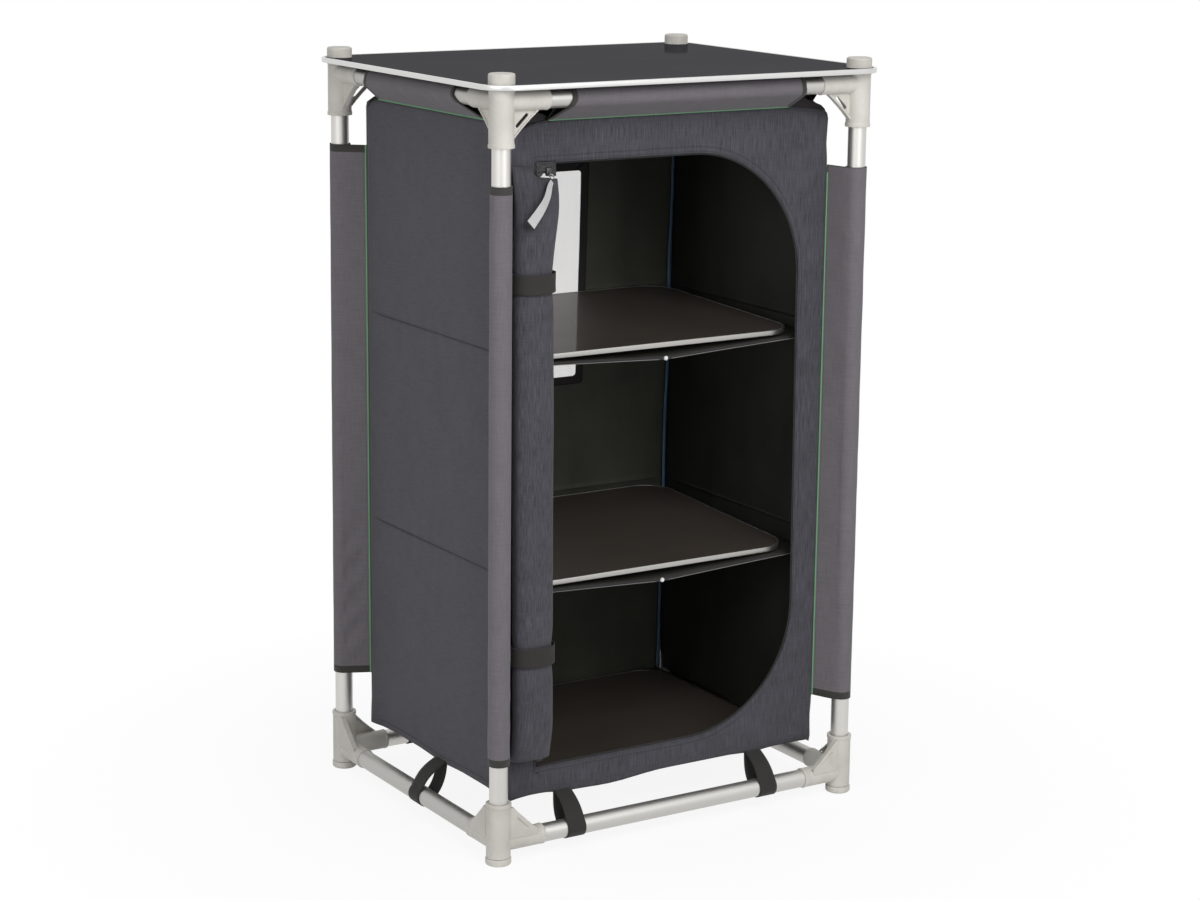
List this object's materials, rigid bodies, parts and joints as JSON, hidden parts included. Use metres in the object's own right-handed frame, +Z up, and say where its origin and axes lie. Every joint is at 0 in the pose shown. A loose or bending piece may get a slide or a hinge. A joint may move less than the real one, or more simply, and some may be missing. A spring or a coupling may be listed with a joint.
{
  "type": "folding camping cupboard",
  "caption": "Free-standing cloth cupboard on a plug-together tube frame, with loose shelf boards, a lift-off tabletop and a roll-up zip door.",
  "frame": {"origin": "on the ground, under the middle of the four posts and of the tabletop", "axes": "+Z up, +X to the right seen from the door, +Y to the back, so the door faces -Y"},
  "size_m": [0.62, 0.51, 1.05],
  "materials": {
    "corner_plastic": "moulded satin",
    "frame_tube": "satin anodised",
    "board_edge": "satin",
    "tabletop_board": "fine matte laminate",
    "shelf_board": "smooth laminate",
    "body_cloth": "plain weave polyester",
    "sleeve_cloth": "plain weave polyester",
    "inner_cloth": "black coated polyester",
    "netting": "fine mesh",
    "webbing": "woven webbing",
    "zip_metal": "dark plated",
    "zip_tag": "woven tape, bare"
  },
  "bodies": {
    "base_frame": {"foot_fl": "corner_plastic", "foot_fr": "corner_plastic", "foot_bl": "corner_plastic", "foot_br": "corner_plastic", "bottom_corner_fl": "corner_plastic", "bottom_corner_fr": "corner_plastic", "bottom_corner_bl": "corner_plastic", "bottom_corner_br": "corner_plastic", "post_fl": "frame_tube", "post_fr": "frame_tube", "post_bl": "frame_tube", "post_br": "frame_tube", "rail_bottom_front": "frame_tube", "rail_bottom_back": "frame_tube", "rail_bottom_left": "frame_tube", "rail_bottom_right": "frame_tube"},
    "top_frame": {"top_corner_fl": "corner_plastic", "top_corner_fr": "corner_plastic", "top_corner_bl": "corner_plastic", "top_corner_br": "corner_plastic", "rail_top_front": "frame_tube", "rail_top_back": "frame_tube", "rail_top_left": "frame_tube", "rail_top_right": "frame_tube", "rail_sleeve_front": "sleeve_cloth", "rail_sleeve_back": "sleeve_cloth", "rail_sleeve_left": "sleeve_cloth", "rail_sleeve_right": "sleeve_cloth", "post_sleeve_fl": "sleeve_cloth", "post_sleeve_fr": "sleeve_cloth", "post_sleeve_bl": "sleeve_cloth", "post_sleeve_br": "sleeve_cloth", "wall_left": "body_cloth", "wall_right": "body_cloth", "wall_back": "body_cloth", "front_panel": "body_cloth", "cloth_top": "inner_cloth", "cloth_floor": "body_cloth", "shelf_cloth_upper": "inner_cloth", "shelf_cloth_middle": "inner_cloth", "window_netting": "netting", "rolled_door": "body_cloth", "door_strap_upper": "webbing", "door_strap_lower": "webbing", "bottom_strap_front_left": "webbing", "bottom_strap_front_right": "webbing", "bottom_strap_back_left": "webbing", "bottom_strap_back_right": "webbing", "bottom_strap_left": "webbing", "bottom_strap_right": "webbing"},
    "tabletop": {"tabletop_panel": "tabletop_board", "tabletop_edge": "board_edge"},
    "shelf_upper": {"shelf_upper_panel": "shelf_board", "shelf_upper_edge": "board_edge"},
    "shelf_middle": {"shelf_middle_panel": "shelf_board", "shelf_middle_edge": "board_edge"},
    "shelf_base": {"shelf_base_panel": "shelf_board", "shelf_base_edge": "board_edge"},
    "zip_slider": {"zip_slider": "zip_metal"},
    "zip_pull": {"zip_pull": "zip_tag"}
  },
  "joints": [
    {"name": "top_frame_lift", "type": "slide", "parent": "base_frame", "child": "top_frame", "axis": [0, 0, 1], "range_m": [0, 0.045], "deforming": ["bottom_strap_front_left", "bottom_strap_front_right", "bottom_strap_back_left", "bottom_strap_back_right", "bottom_strap_left", "bottom_strap_right"]},
    {"name": "tabletop_lift", "type": "slide", "parent": "top_frame", "child": "tabletop", "axis": [0, 0, 1], "range_m": [0, 0.12]},
    {"name": "shelf_upper_lift", "type": "slide", "parent": "top_frame", "child": "shelf_upper", "axis": [0, 0, 1], "range_m": [0, 0.2]},
    {"name": "shelf_middle_lift", "type": "slide", "parent": "top_frame", "child": "shelf_middle", "axis": [0, 0, 1], "range_m": [0, 0.2]},
    {"name": "shelf_base_lift", "type": "slide", "parent": "top_frame", "child": "shelf_base", "axis": [0, 0, 1], "range_m": [0, 0.2]},
    {"name": "zip_slide", "type": "slide", "parent": "top_frame", "child": "zip_slider", "axis": [1, 0, 0], "range_m": [0, 0.25]},
    {"name": "zip_pull_swing", "type": "hinge", "parent": "zip_slider", "child": "zip_pull", "pos_m": [-0.1905, -0.19636, 0.913], "axis": [-1, 0, 0], "range_deg": [0, 120]}
  ]
}
